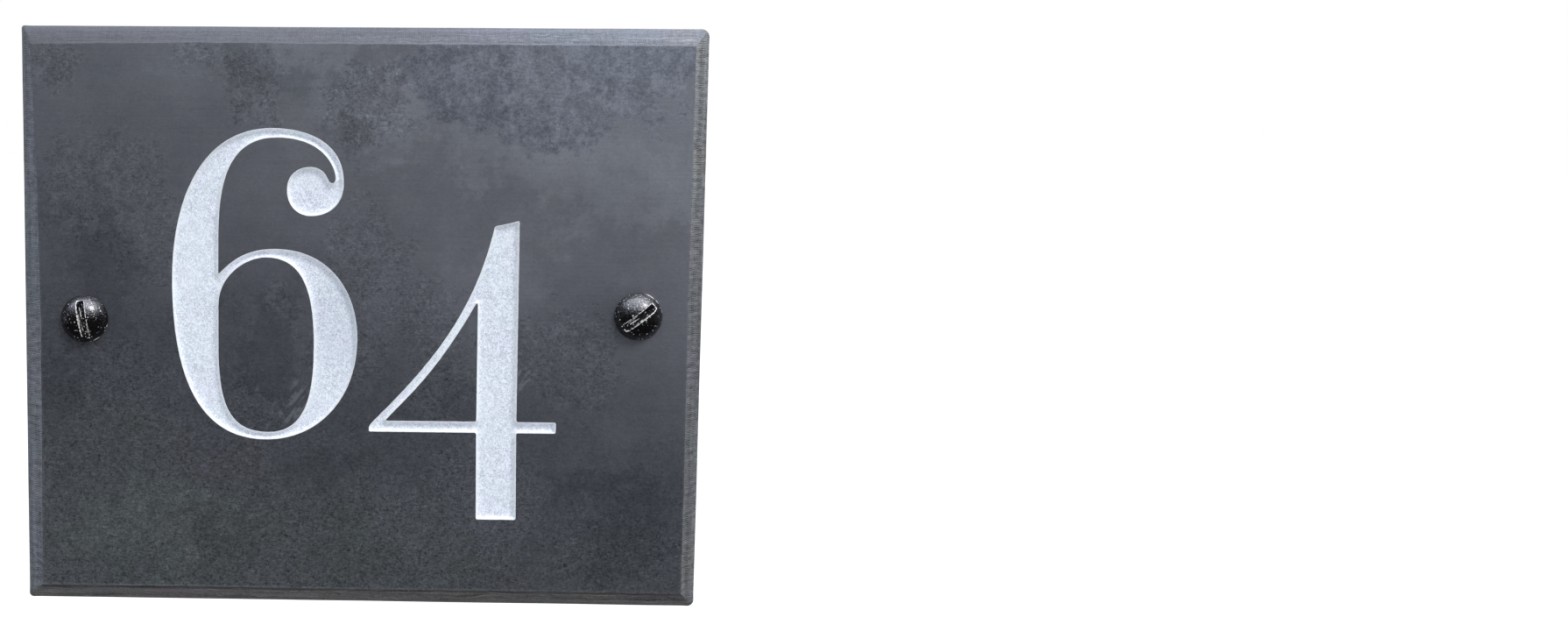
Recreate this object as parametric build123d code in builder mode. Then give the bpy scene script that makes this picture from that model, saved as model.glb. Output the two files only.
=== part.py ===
from build123d import *

import math
import os

# A slate house sign with two carved and painted numerals, held by two round-head screws.
# X runs to the right and Z up as seen from the street, and Y runs into the wall.
# The origin is the centre of the back face. Sizes are in millimetres, angles in degrees.

# Slate
plaque_width = 150.0
plaque_height = 128.0
plaque_thickness = 10.0
corner_radius = 1.4

# Bevel round the face, with a steeper rim along its outer side
bevel_width = 4.0
bevel_depth = 4.2
rim_width = 1.1
rim_depth = 1.7
arris_radius = 0.3

# Screw holes, set in from the sides
hole_diameter = 6.0
left_hole_inset = 14.1
right_hole_inset = 14.5
right_hole_rise = 1.7

# Slotted round-head wood screws
head_diameter = 10.4
head_height = 3.8
head_rim = 0.4
shank_diameter = 4.9
core_diameter = 3.4
screw_length = 38.0
smooth_length = 14.0
neck_length = 0.8
point_length = 5.5
slot_width = 1.7
slot_depth = 1.9
left_slot_angle = 100.0
right_slot_angle = 38.0

# Carving, and the enamel that lines it
carve_depth = 1.4
coat_thickness = 0.2

# Where the numerals stand, from the left side and the bottom of the slate
six_inset = 33.4
numeral_gap = 2.65
baseline_rise = 37.5
four_descent = 17.4

# Six: sizes of its strokes
six_width = 40.8
six_height = 68.5
six_stem = 10.2
six_bowl_stroke = 9.6
crown_hairline = 2.05
hook_hairline = 1.8
bowl_hairline = 1.9
foot_hairline = 1.7
stem_straight = 6.9
crotch_drop = 5.7

# Six: the ball that ends its hook, and the notch between them
hook_inset = 3.15
hook_drop = 11.8
ball_width = 12.45
ball_height = 10.7
ball_drop = 8.35
ball_gap = 7.2
notch_width = 1.5
notch_lift = 0.95
notch_drop = 11.9
throat_width = 2.0
throat_rise = 1.6

# Six: where its outline turns, as shares of the stroke's own width or height
waist_place = 0.514
crown_place = 0.542
inner_crown_place = 0.566
ball_place = 0.42
ball_waist_place = 0.528
bowl_crown_place = 0.559
inner_bowl_crown_place = 0.507
bowl_waist_place = 0.532
inner_bowl_waist_place = 0.494
foot_place = 0.505
inner_foot_place = 0.52
counter_straight_low = 0.485
counter_straight_high = 0.702

# Six: how full each curve is at its start and its end
shoulder_pull = (0.50, 0.73)
hook_pull = (0.54, 0.71)
ball_under_pull = (0.60, 0.60)
ball_back_pull = (0.59, 0.57)
ball_over_pull = (0.62, 0.60)
ball_side_pull = (0.45, 0.37)
throat_pull = (0.31, 0.50)
notch_pull = (0.62, 0.44)
inner_hook_pull = (0.22, 0.84)
inner_shoulder_pull = (0.91, 0.48)
crotch_pull = (0.41, 0.45)
bowl_over_pull = (0.62, 0.58)
bowl_under_pull = (0.56, 0.60)
heel_pull = (0.82, 0.49)
counter_over_left_pull = (0.64, 0.41)
counter_over_right_pull = (0.87, 0.51)
counter_under_right_pull = (0.46, 0.91)
counter_under_left_pull = (0.72, 0.74)

# Four: sizes of its strokes
four_width = 41.2
four_height = 66.25
four_stem = 8.84
arm_length = 8.7
bar_rise = 19.45
bar_thickness = 2.5
stem_foot_shift = 0.19
flag_width = 5.36
flag_drop = 1.25
tip_height = 1.1
tip_width = 0.5
tip_rise = 0.8
counter_inset = 3.6
apex_width = 0.25
apex_place = 0.61

# Four: how full each curve is at its start and its end
diagonal_pull = (0.39, 0.39)
inner_diagonal_pull = (0.17, 0.60)
flag_pull = (0.35, 0.35)

# Directions on the face, for the curves of the numerals
up = Vector(0, 1)
down = Vector(0, -1)
left = Vector(-1, 0)
right = Vector(1, 0)
crotch_way = Vector(1, 1.1).normalized()
throat_way = Vector(1, -1.9).normalized()
diagonal_start_way = Vector(1, 1).normalized()
diagonal_end_way = Vector(1, 4.5).normalized()
inner_diagonal_start_way = Vector(1, 1.2).normalized()
inner_diagonal_end_way = Vector(1, 1.8).normalized()
flag_start_way = Vector(1, 0.18).normalized()
flag_end_way = Vector(1, 0.32).normalized()

front = -plaque_thickness
outward = (0, -1, 0)
inward = (0, 1, 0)
rightward = (1, 0, 0)
left_side = -plaque_width / 2
right_side = plaque_width / 2
underside = -plaque_height / 2


# A plane square to Y, seen from the street
def street_plane(x, y, z):
    return Plane(origin=(x, y, z), x_dir=rightward, z_dir=outward)


# A curve that leaves one point and arrives at the next along given directions.
# A pull is a handle's length as a share of the box between the two points.
def swing(start, leaving, end, arriving, pulls):
    span = Vector(end) - Vector(start)
    handles = []
    for direction, pull in zip((leaving, arriving), pulls):
        reach = abs(span.X * direction.X) + abs(span.Y * direction.Y)
        handles.append(direction * reach * pull)
    points = (start, Vector(start) + handles[0], Vector(end) - handles[1], end)
    return Bezier(*points, mode=Mode.PRIVATE)


# One straight run after another, through the points given
def straight(*points):
    return Polyline(*points, mode=Mode.PRIVATE)


def six_outline():
    hook_right = six_width - hook_inset
    ball_left = hook_right - ball_width
    ball_top = six_height - ball_drop
    ball_foot = ball_top - ball_height
    bowl_top = ball_foot - ball_gap
    notch_right = hook_right - hook_hairline
    notch_x = notch_right - notch_width / 2
    notch_foot = six_height - notch_drop
    crotch_height = bowl_top - crotch_drop

    waist = (0, six_height * waist_place)
    crown = (six_width * crown_place, six_height)
    hook = (hook_right, six_height - hook_drop)
    under_ball = (ball_left + ball_width * ball_place, ball_foot)
    back_of_ball = (ball_left, ball_foot + ball_height * ball_waist_place)
    over_ball = (ball_left + ball_width * ball_place, ball_top)
    throat = (notch_right - throat_width, notch_foot + throat_rise)
    notch = (notch_x, notch_foot)
    notch_side = (notch_right, notch_foot + notch_lift)
    inner_crown = (six_width * inner_crown_place, six_height - crown_hairline)
    stem_top = (six_stem, crotch_height + stem_straight)
    crotch = (six_stem, crotch_height)
    bowl_crown = (six_width * bowl_crown_place, bowl_top)
    bowl_side = (six_width, bowl_top * bowl_waist_place)
    foot = (six_width * foot_place, 0)

    return [
        swing(waist, up, crown, right, shoulder_pull),
        swing(crown, right, hook, down, hook_pull),
        swing(hook, down, under_ball, left, ball_under_pull),
        swing(under_ball, left, back_of_ball, up, ball_back_pull),
        swing(back_of_ball, up, over_ball, right, ball_over_pull),
        swing(over_ball, right, throat, throat_way, ball_side_pull),
        swing(throat, throat_way, notch, right, throat_pull),
        swing(notch, right, notch_side, up, notch_pull),
        swing(notch_side, up, inner_crown, left, inner_hook_pull),
        swing(inner_crown, left, stem_top, down, inner_shoulder_pull),
        straight(stem_top, crotch),
        swing(crotch, crotch_way, bowl_crown, right, crotch_pull),
        swing(bowl_crown, right, bowl_side, down, bowl_over_pull),
        swing(bowl_side, down, foot, left, bowl_under_pull),
        swing(foot, left, waist, up, heel_pull),
    ]


def six_counter():
    bowl_top = six_height - ball_drop - ball_height - ball_gap
    stem_low = (six_stem, bowl_top * counter_straight_low)
    stem_high = (six_stem, bowl_top * counter_straight_high)
    crown = (six_width * inner_bowl_crown_place, bowl_top - bowl_hairline)
    side = (six_width - six_bowl_stroke, bowl_top * inner_bowl_waist_place)
    foot = (six_width * inner_foot_place, foot_hairline)

    return [
        straight(stem_low, stem_high),
        swing(stem_high, up, crown, right, counter_over_left_pull),
        swing(crown, right, side, down, counter_over_right_pull),
        swing(side, down, foot, left, counter_under_right_pull),
        swing(foot, left, stem_low, up, counter_under_left_pull),
    ]


def four_outline():
    stem_right = four_width - arm_length
    stem_left = stem_right - four_stem
    bar_top = bar_rise + bar_thickness
    tip_top = (0, bar_rise + tip_height)
    diagonal_foot = (tip_width, bar_rise + tip_height + tip_rise)
    flag = (stem_right - flag_width, four_height - flag_drop)
    corner = (stem_right, four_height)

    strokes = straight(
        corner,
        (stem_right, bar_top),
        (four_width, bar_top),
        (four_width, bar_rise),
        (stem_right, bar_rise),
        (stem_right + stem_foot_shift, 0),
        (stem_left + stem_foot_shift, 0),
        (stem_left, bar_rise),
        (0, bar_rise),
        tip_top,
        diagonal_foot,
    )
    return [
        swing(diagonal_foot, diagonal_start_way, flag, diagonal_end_way, diagonal_pull),
        swing(flag, flag_start_way, corner, flag_end_way, flag_pull),
        strokes,
    ]


def four_counter():
    stem_left = four_width - arm_length - four_stem
    bar_top = bar_rise + bar_thickness
    flag_foot = four_height - flag_drop
    corner = (counter_inset, bar_top)
    apex_height = bar_top + (flag_foot - bar_top) * apex_place
    apex = (stem_left - apex_width, apex_height)

    return [
        swing(corner, inner_diagonal_start_way, apex, inner_diagonal_end_way, inner_diagonal_pull),
        straight(apex, (stem_left, apex_height), (stem_left, bar_top), corner),
    ]


# A closed ring of runs and curves. They stay apart, because merged curves would bend.
def ring(pieces):
    return Wire([edge for piece in pieces for edge in piece.edges()])


# A numeral as a flat shape on the face, with the hole in its middle
def numeral(x, z, outline, counter):
    return street_plane(x, front, z) * Face(ring(outline()), [ring(counter())])


six_left = left_side + six_inset
four_left = six_left + six_width + numeral_gap
baseline = underside + baseline_rise
numerals = {
    "six_paint": numeral(six_left, baseline, six_outline, six_counter),
    "four_paint": numeral(four_left, baseline - four_descent, four_outline, four_counter),
}

left_hole = (left_side + left_hole_inset, 0)
right_hole = (right_side - right_hole_inset, right_hole_rise)

os.makedirs("parts", exist_ok=True)

# The slate: sawn square at the back, bevelled to the face, drilled twice and carved
with BuildPart() as slate_plaque:
    bevel_foot = front + bevel_depth
    rim_top = bevel_foot - rim_depth
    with BuildSketch(street_plane(0, 0, 0)):
        RectangleRounded(plaque_width, plaque_height, corner_radius)
    with BuildSketch(street_plane(0, bevel_foot, 0)):
        RectangleRounded(plaque_width, plaque_height, corner_radius)
    with BuildSketch(street_plane(0, rim_top, 0)):
        RectangleRounded(plaque_width - 2 * rim_width, plaque_height - 2 * rim_width, corner_radius)
    with BuildSketch(street_plane(0, front, 0)):
        RectangleRounded(plaque_width - 2 * bevel_width, plaque_height - 2 * bevel_width, arris_radius)
    loft(ruled=True)
    with BuildSketch(street_plane(0, front, 0)):
        with Locations(left_hole, right_hole):
            Circle(hole_diameter / 2)
    extrude(amount=-plaque_thickness, mode=Mode.SUBTRACT)
    for shape in numerals.values():
        extrude(shape, amount=carve_depth, dir=inward, mode=Mode.SUBTRACT)

slate_plaque.part.label = "slate_plaque"
export_step(slate_plaque.part, "parts/slate_plaque.step")

# The enamel in each numeral: a thin coat on the floor and walls of its carving
for name, shape in numerals.items():
    bare_shape = offset(shape, amount=-coat_thickness).face().to_splines()
    with BuildPart() as coat:
        extrude(shape, amount=carve_depth, dir=inward)
        extrude(bare_shape, amount=carve_depth - coat_thickness, dir=inward, mode=Mode.SUBTRACT)
    coat.part.label = name
    export_step(coat.part, f"parts/{name}.step")

# The screws: a domed head seated on the face, a smooth shank, and a core that ends in a point
screws = {
    "screw_left": (left_hole, left_slot_angle),
    "screw_right": (right_hole, right_slot_angle),
}
for name, ((x, z), slot_angle) in screws.items():
    seat = (x, front, z)
    slot_way = (math.cos(math.radians(slot_angle)), 0, math.sin(math.radians(slot_angle)))
    dome_top = (0, -head_height)
    dome_foot = (head_diameter / 2, -head_rim)
    with BuildPart() as screw:
        with BuildSketch(Plane(origin=seat, x_dir=rightward, z_dir=(0, 0, 1))):
            with BuildLine():
                TangentArc(dome_top, dome_foot, tangent=(1, 0))
                Polyline(
                    dome_foot,
                    (head_diameter / 2, 0),
                    (shank_diameter / 2, 0),
                    (shank_diameter / 2, smooth_length),
                    (core_diameter / 2, smooth_length + neck_length),
                    (core_diameter / 2, screw_length - point_length),
                    (0, screw_length),
                    dome_top,
                )
            make_face()
        revolve(axis=Axis(seat, inward))
        with BuildSketch(Plane(origin=(x, front - head_height, z), x_dir=slot_way, z_dir=outward)):
            Rectangle(head_diameter, slot_width)
        extrude(amount=-slot_depth, mode=Mode.SUBTRACT)
    screw.part.label = name
    export_step(screw.part, f"parts/{name}.step")
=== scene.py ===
import math
from collections import Counter
from functools import partial

import bpy
import numpy as np
from mathutils import Matrix, Vector, noise
from mathutils.geometry import delaunay_2d_cdt


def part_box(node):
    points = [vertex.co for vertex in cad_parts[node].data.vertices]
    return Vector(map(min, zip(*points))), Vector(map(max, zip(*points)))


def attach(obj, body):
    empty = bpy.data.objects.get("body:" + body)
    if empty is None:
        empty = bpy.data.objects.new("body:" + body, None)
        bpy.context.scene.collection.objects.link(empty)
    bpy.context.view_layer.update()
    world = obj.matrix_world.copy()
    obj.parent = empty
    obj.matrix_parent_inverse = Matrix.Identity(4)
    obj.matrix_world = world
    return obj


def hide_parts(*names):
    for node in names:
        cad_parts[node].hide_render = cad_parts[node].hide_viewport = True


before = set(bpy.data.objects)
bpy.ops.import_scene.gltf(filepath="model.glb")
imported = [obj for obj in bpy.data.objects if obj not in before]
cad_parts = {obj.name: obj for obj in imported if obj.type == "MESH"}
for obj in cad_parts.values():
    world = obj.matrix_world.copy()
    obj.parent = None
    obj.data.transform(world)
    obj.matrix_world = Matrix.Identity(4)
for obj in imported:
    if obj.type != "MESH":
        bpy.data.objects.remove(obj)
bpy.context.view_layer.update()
mm = 0.001  # sizes are in millimetres up to the moment a mesh is made


# Flat shapes on the face are arrays of x, z pairs. An outline has the stroke on its left.

def cadLoops(nodeName, level):
    # the outlines of a CAD node's flat faces at y = level, in mm
    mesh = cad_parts[nodeName].data
    known, spots, corners = {}, [], []
    for vertex in mesh.vertices:
        spot = tuple(round(c / mm, 3) for c in vertex.co)
        if spot not in known:
            known[spot] = len(spots)
            spots.append(spot)
        corners.append(known[spot])
    edges = set()
    for face in mesh.polygons:
        ring = [corners[i] for i in face.vertices]
        if all(abs(spots[i][1] - level) < 0.001 for i in ring):
            edges.update(zip(ring, ring[1:] + ring[:1]))
    after = {a: b for a, b in edges if (b, a) not in edges}
    loops = []
    while after:
        first = min(after)
        loop, here = [first], after.pop(first)
        while here != first:
            loop.append(here)
            here = after.pop(here)
        loops.append(np.array([(spots[i][0], spots[i][2]) for i in loop]))
    return loops


def loopArea(loop):
    ahead = np.roll(loop, -1, 0)
    return 0.5 * np.sum(loop[:, 0] * ahead[:, 1] - loop[:, 1] * ahead[:, 0])


def evenLoop(loop, spacing, easing):
    # the same outline with evenly spaced points, its corners eased a little
    closed = np.vstack([loop, loop[:1]])
    run = np.concatenate([[0], np.cumsum(np.linalg.norm(np.diff(closed, axis=0), axis=1))])
    steps = np.linspace(0, run[-1], int(round(run[-1] / spacing)), endpoint=False)
    even = np.column_stack([np.interp(steps, run, closed[:, k]) for k in (0, 1)])
    for _ in range(easing):
        even = (np.roll(even, 1, 0) + 2 * even + np.roll(even, -1, 0)) / 4
    return even


def leftOf(loop):
    # unit normals to the left of an outline
    way = np.roll(loop, -1, 0) - np.roll(loop, 1, 0)
    way /= np.linalg.norm(way, axis=1)[:, None]
    return np.column_stack([-way[:, 1], way[:, 0]])


def gapTo(points, loops):
    # how far each point is from the nearest outline
    starts = np.vstack(loops)
    along = np.vstack([np.roll(loop, -1, 0) for loop in loops]) - starts
    squares = (along ** 2).sum(1)
    gaps = np.empty(len(points))
    for first in range(0, len(points), 2000):
        away = points[first:first + 2000, None] - starts
        share = np.clip((away * along).sum(2) / squares, 0, 1)
        gaps[first:first + 2000] = np.sqrt(((away - share[..., None] * along) ** 2).sum(2).min(1))
    return gaps


def withinOdd(points, loops):
    # true where a point lies within an odd number of the outlines
    odd = np.zeros(len(points), bool)
    x, z = points[:, 0], points[:, 1]
    for loop in loops:
        for (x0, z0), (x1, z1) in zip(loop, np.roll(loop, -1, 0)):
            if z0 != z1:
                odd ^= ((z0 > z) != (z1 > z)) & (x < (x1 - x0) * (z - z0) / (z1 - z0) + x0)
    return odd


def fill(loops, extra):
    # triangles over the loops' points and the extra ones, where an odd number of loops goes round
    points = np.vstack([*loops, extra]) if len(extra) else np.vstack(loops)
    edges, first = [], 0
    for loop in loops:
        ring = list(range(first, first + len(loop)))
        edges += list(zip(ring, ring[1:] + ring[:1]))
        first += len(loop)
    made = delaunay_2d_cdt([Vector(p) for p in points], edges, [], 0, 1e-7)
    home = [ids[0] for ids in made[3]]
    triangles = np.array([[home[i] for i in face] for face in made[2]])
    middles = points[triangles].mean(1)
    return points, triangles[withinOdd(middles, loops)]


def spotGrid(low, high, step):
    # points of a grid whose rows are shifted by half a step, each nudged a little
    rowStep, nudgeStep = 0.87 * step, 0.12
    rows = np.arange(low[1], high[1], rowStep)
    columns = np.arange(low[0], high[0], step)
    x, z = np.meshgrid(columns, rows)
    x[::2] += step / 2
    nudge = np.random.default_rng(7).uniform(-nudgeStep, nudgeStep, (2, *x.shape)) * step
    return np.column_stack([(x + nudge[0]).ravel(), (z + nudge[1]).ravel()])


def thinned(points, rooms):
    # drops a point that comes closer to a kept one than its room
    cell, kept, cells = 0.25, [], {}
    for i, ((x, z), room) in enumerate(zip(points, rooms)):
        column, row = int(x // cell), int(z // cell)
        near = (j for c in (column - 1, column, column + 1) for r in (row - 1, row, row + 1)
                for j in cells.get((c, r), ()))
        if all(math.hypot(points[j][0] - x, points[j][1] - z) > room for j in near):
            cells.setdefault((column, row), []).append(i)
            kept.append(i)
    return np.array(kept)


def smooth(value, low, high):
    share = np.clip((value - low) / (high - low), 0, 1)
    return share * share * (3 - 2 * share)


def wave(x, y, z):
    return noise.noise(Vector((x, y, z)))


def raised(points, y):
    # the points of a flat shape at y, which is one value or one for each
    return np.column_stack([points[:, 0], np.broadcast_to(y, len(points)), points[:, 1]])


def newObject(name, data):
    made = bpy.data.objects.new(name, data)
    bpy.context.scene.collection.objects.link(made)
    return made


class Shell:
    # gathers points, faces and the finish of each face, and makes them one mesh

    def __init__(self):
        self.spots, self.faces, self.finishes, self.notes = [], [], [], {}

    def add(self, spots):
        first = len(self.spots)
        self.spots += [tuple(s) for s in spots]
        return np.arange(first, first + len(spots))

    def cover(self, faces, finish):
        self.faces += [tuple(int(i) for i in f) for f in faces]
        self.finishes += [finish] * len(faces)

    def band(self, inner, outer, finish):
        # quads between two closed rows of the same length
        a, b = np.asarray(inner), np.asarray(outer)
        self.cover(np.column_stack([a, b, np.roll(b, -1), np.roll(a, -1)]), finish)

    def note(self, name, ids, values):
        kept = self.notes.setdefault(name, {})
        kept.update(zip((int(i) for i in ids), (float(v) for v in values)))

    def piece(self, name, nodeName, finishes, sharp):
        mesh = bpy.data.meshes.new(name)
        mesh.from_pydata([Vector(s) * mm for s in self.spots], [], self.faces)
        for finish in finishes:
            mesh.materials.append(finish)
        mesh.polygons.foreach_set("material_index", self.finishes)
        mesh.polygons.foreach_set("use_smooth", [True] * len(self.faces))
        for noteName, values in self.notes.items():
            field = mesh.attributes.new(noteName, "FLOAT", "POINT")
            field.data.foreach_set("value", [values.get(i, 0.0) for i in range(len(self.spots))])
        mesh.validate()
        mesh.set_sharp_from_angle(angle=math.radians(sharp))
        made = newObject(name, mesh)
        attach(made, "root")
        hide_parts(nodeName)
        uses = Counter(key for polygon in mesh.polygons for key in polygon.edge_keys)
        openEdges = sum(count != 2 for count in uses.values())
        print(f"{name}: {len(mesh.polygons)} faces, {openEdges} open or shared edges")


# Nodes of the finishes


class Net:
    # one node tree. feed and place work on its nodes, and the rest give an output

    def __init__(self, tree):
        self.tree = tree
        tree.nodes.clear()
        # mulAdd is the first times the second, plus the third
        self.add, self.less, self.times, self.over, self.most, self.below, self.mulAdd = (
            partial(self.maths, operation) for operation in (
                "ADD", "SUBTRACT", "MULTIPLY", "DIVIDE", "MAXIMUM", "LESS_THAN", "MULTIPLY_ADD"))

    def feed(self, node, inputs):
        for name, value in inputs.items():
            if isinstance(value, bpy.types.NodeSocket):
                self.tree.links.new(value, node.inputs[name])
            else:
                node.inputs[name].default_value = value

    def place(self, kind, inputs=None, **settings):
        made = self.tree.nodes.new("ShaderNode" + kind)
        for name, value in settings.items():
            setattr(made, name, value)
        self.feed(made, inputs or {})
        return made

    def out(self, kind, inputs=None, **settings):
        return self.place(kind, inputs, **settings).outputs[0]

    def maths(self, operation, *values, clamp=False):
        return self.out("Math", dict(enumerate(values)), operation=operation, use_clamp=clamp)

    def vector(self, operation, *values):
        return self.out("VectorMath", dict(enumerate(values)), operation=operation)

    def scaled(self, colour, factor):
        return self.out("VectorMath", {0: colour, "Scale": factor}, operation="SCALE")

    def joined(self, x, y, z=0.0):
        return self.out("CombineXYZ", {0: x, 1: y, 2: z})

    def split(self, where):
        return self.place("SeparateXYZ", {0: where}).outputs

    def span(self, value, low, high, start=0.0, end=1.0, easing="LINEAR"):
        # low to high becomes start to end
        return self.out("MapRange", {
            "Value": value, "From Min": low, "From Max": high, "To Min": start, "To Max": end},
            interpolation_type=easing)

    def noise(self, where, scale, detail=2.0, rough=0.5, bend=0.0):
        return self.out("TexNoise", {
            "Vector": where, "Scale": scale, "Detail": detail, "Roughness": rough, "Distortion": bend})

    def blend(self, share, first, second):
        # between two colours, each an output or three values
        ends = [c if isinstance(c, bpy.types.NodeSocket) else (*c, 1) for c in (first, second)]
        return self.place("Mix", {0: share, 6: ends[0], 7: ends[1]}, data_type="RGBA").outputs[2]

    def toned(self, colour, share, factors):
        # a colour pulled towards itself times three factors
        return self.blend(share, colour, self.vector("MULTIPLY", colour, factors))

    def ramp(self, value, stops):
        made = self.place("ValToRGB", {0: value})
        marks = made.color_ramp.elements
        while len(marks) < len(stops):
            marks.new(0.5)
        for mark, (where, colour) in zip(marks, stops):
            mark.position = where
            mark.color = (*colour, 1)
        return made.outputs[0]

    def note(self, name):
        return self.place("Attribute", attribute_name=name).outputs["Fac"]

    def bump(self, strength, distance, height):
        return self.out("Bump", {"Strength": strength, "Distance": distance, "Height": height})

    def mask(self, group, where, **inputs):
        return self.out("Group", {"where": where, **inputs}, node_tree=group)

    def turned(self, where, degrees, moved=(0, 0, 0)):
        return self.out("Mapping", {
            "Vector": where, "Location": moved, "Rotation": (0, math.radians(degrees), 0)})

    def ragged(self, where, size, reach):
        # the same places, shifted a little so that a patch's edge comes out ragged
        drift = self.place("TexNoise", {
            "Vector": where, "Scale": 1000.0 / size, "Detail": 8.0, "Roughness": 0.78}).outputs["Color"]
        centred = self.vector("SUBTRACT", drift, (0.5, 0.5, 0.5))
        return self.vector("MULTIPLY_ADD", centred, (reach * mm,) * 3, where)

    def patches(self, where, areas, edge):
        # one mask of all the areas in a list
        joined = None
        for x, z, wide, tall in areas:
            spot = self.mask(patch, where, x=x, z=z, wide=wide, tall=tall, edge=edge)
            joined = spot if joined is None else self.most(joined, spot)
        return joined


def newGroup(name, **takes):
    # a group that gives one mask
    group = bpy.data.node_groups.new(name, "ShaderNodeTree")
    net = Net(group)
    group.interface.new_socket("where", in_out="INPUT", socket_type="NodeSocketVector")
    for label, value in takes.items():
        made = group.interface.new_socket(label, in_out="INPUT", socket_type="NodeSocketFloat")
        made.default_value = value
    group.interface.new_socket("mask", in_out="OUTPUT", socket_type="NodeSocketFloat")
    return group, net, group.nodes.new("NodeGroupInput").outputs, group.nodes.new("NodeGroupOutput")


def makeClouds():
    # soft patches with ragged edges
    group, net, taken, end = newGroup("clouds", size=30.0, ragged=0.6, low=0.4, high=0.6)
    pattern = net.noise(taken["where"], net.over(1000.0, taken["size"]), detail=8.0, rough=taken["ragged"])
    net.feed(end, {0: net.span(pattern, taken["low"], taken["high"], easing="SMOOTHSTEP")})
    return group


def makeSpecks():
    # small dots, in only some of the cells
    group, net, taken, end = newGroup("specks", spacing=3.0, radius=0.08, share=0.3)
    cells = net.place("TexVoronoi", {
        "Vector": taken["where"], "Scale": net.over(1000.0, taken["spacing"])}).outputs
    chance = net.place("SeparateColor", {0: cells["Color"]}).outputs
    dot = net.below(cells["Distance"], net.times(taken["radius"], chance[1]))
    net.feed(end, {0: net.times(dot, net.below(chance[0], taken["share"]))})
    return group


def makeScratches():
    # thin drawn-out lines along the vector's x, bent a little
    group, net, taken, end = newGroup("scratches", length=12.0, width=0.25, few=0.68)
    bend = net.place("TexNoise", {"Vector": taken["where"], "Scale": 40.0, "Detail": 1.0}).outputs["Color"]
    bent = net.vector("MULTIPLY_ADD", bend, (0.004, 0.004, 0.004), taken["where"])
    along, across = net.over(1000.0, taken["length"]), net.over(1000.0, taken["width"])
    drawn = net.vector("MULTIPLY", bent, net.joined(along, along, across))
    lines = net.noise(drawn, 1.0, detail=1.0)
    net.feed(end, {0: net.span(lines, taken["few"], net.add(taken["few"], 0.06))})
    return group


def makePatch():
    # one spot on the face, with its centre and half sizes in mm
    group, net, taken, end = newGroup("patch", x=0.0, z=0.0, wide=10.0, tall=10.0, edge=0.3)
    spread = net.split(taken["where"])
    x = net.over(net.less(net.times(spread[0], 1000.0), taken["x"]), taken["wide"])
    z = net.over(net.less(net.times(spread[2], 1000.0), taken["z"]), taken["tall"])
    away = net.maths("SQRT", net.add(net.times(x, x), net.times(z, z)))
    outer, inner = net.add(1.0, taken["edge"]), net.less(1.0, taken["edge"])
    net.feed(end, {0: net.span(away, outer, inner, easing="SMOOTHSTEP")})
    return group


clouds, specks, scratches, patch = makeClouds(), makeSpecks(), makeScratches(), makePatch()


def newFinish(name):
    made = bpy.data.materials.new(name)
    made.use_nodes = True
    net = Net(made.node_tree)
    skin = net.place("BsdfPrincipled")
    net.place("OutputMaterial", {0: skin.outputs[0]})
    return made, net, net.place("TexCoord").outputs["Object"], skin


honedLook = {
    # colours along the slope from low left to high right, which starts slopeStart mm from the middle. The
    # lighter top right is partly the slate's own tone and partly painted sheen of the light from above right
    "slope": (
        (0.0, (0.0533, 0.0602, 0.0662)), (0.15, (0.0497, 0.0562, 0.0627)), (0.24, (0.0467, 0.0522, 0.0601)),
        (0.34, (0.0458, 0.0500, 0.0611)), (0.40, (0.0459, 0.0500, 0.0618)), (0.46, (0.0556, 0.0602, 0.0731)),
        (0.52, (0.0688, 0.0739, 0.0889)), (0.64, (0.0882, 0.0938, 0.1115)), (0.76, (0.1071, 0.1142, 0.1319)),
        (0.88, (0.1389, 0.1496, 0.1743)), (0.97, (0.1566, 0.1699, 0.2000))),
    "slopeStart": -85.0, "slopeLength": 165.0, "slopeLean": 0.3,
    # areas as x, z and half sizes in mm
    "blue": ((29, 54, 18, 12), (37, 47, 13, 8), (59, 58, 19, 9)),
    "dark": ((-19, 53, 8, 8), (2, 54, 9, 7), (49, -35, 7, 5), (-55, 9, 8, 11), (-22, -6, 7, 10), (-6, -36, 9, 5),
             (59, -50, 9, 9), (-67, -14, 5, 8), (22, 48, 10, 5), (20, 57, 15, 3), (38, 42, 8, 4), (-2, 42, 4, 5),
             (-33, -50, 6, 7)),
    # dim: darker areas of tone. The one at 55, 1 is a painted shadow beside the right screw's head
    "dimAndShadow": ((-56, 48, 30, 28), (55, 1, 6, 5), (22, -17, 5, 4)),
    "light": ((55, 32, 22, 12), (29, -38, 12, 13), (31, 8, 10, 13), (-46, -47, 22, 9), (8, 44, 8, 8),
              (11, -48, 7, 8), (26, 34, 9, 6)),
    "mottled": ((-56, 28, 15, 14), (-45, 17, 10, 10), (-53, -17, 14, 12), (1, 13, 9, 13), (14, 1, 8, 9),
                (18, -13, 8, 14), (-19, 4, 4, 6), (-25, -21, 8, 10), (46, -8, 12, 11), (-48, -43, 34, 25),
                (-5, -50, 30, 14), (24, -44, 16, 20), (-24, 51, 7, 8), (1, 47, 10, 11), (-68, 57, 6, 6),
                (-35, 57, 5, 3), (56, -52, 16, 10), (-4, -8, 9, 9)),
    "green": ((-50, -28, 6, 7), (-43, -47, 25, 12), (-3, -52, 9, 7), (24, -54, 6, 4), (49, -57, 4, 4)),
    "brown": ((-37, -52, 8, 6), (-32, -33, 9, 6), (36, -56, 9, 3), (4, 55, 8, 6)),
    "rubbed": ((-15, -18, 4, 4), (33, -12, 5, 4)),
    "drilled": ((67, 1, 3, 1.6), (61, -6, 2, 1.5)),
    "wornColour": (0.15, 0.16, 0.182), "gleam": (0.195, 0.212, 0.24),
    "dust": (0.42, 0.43, 0.45), "pit": (0.013, 0.0155, 0.020),
    "stippleSize": 0.62, "roughness": (0.46, 0.60),
}


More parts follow.
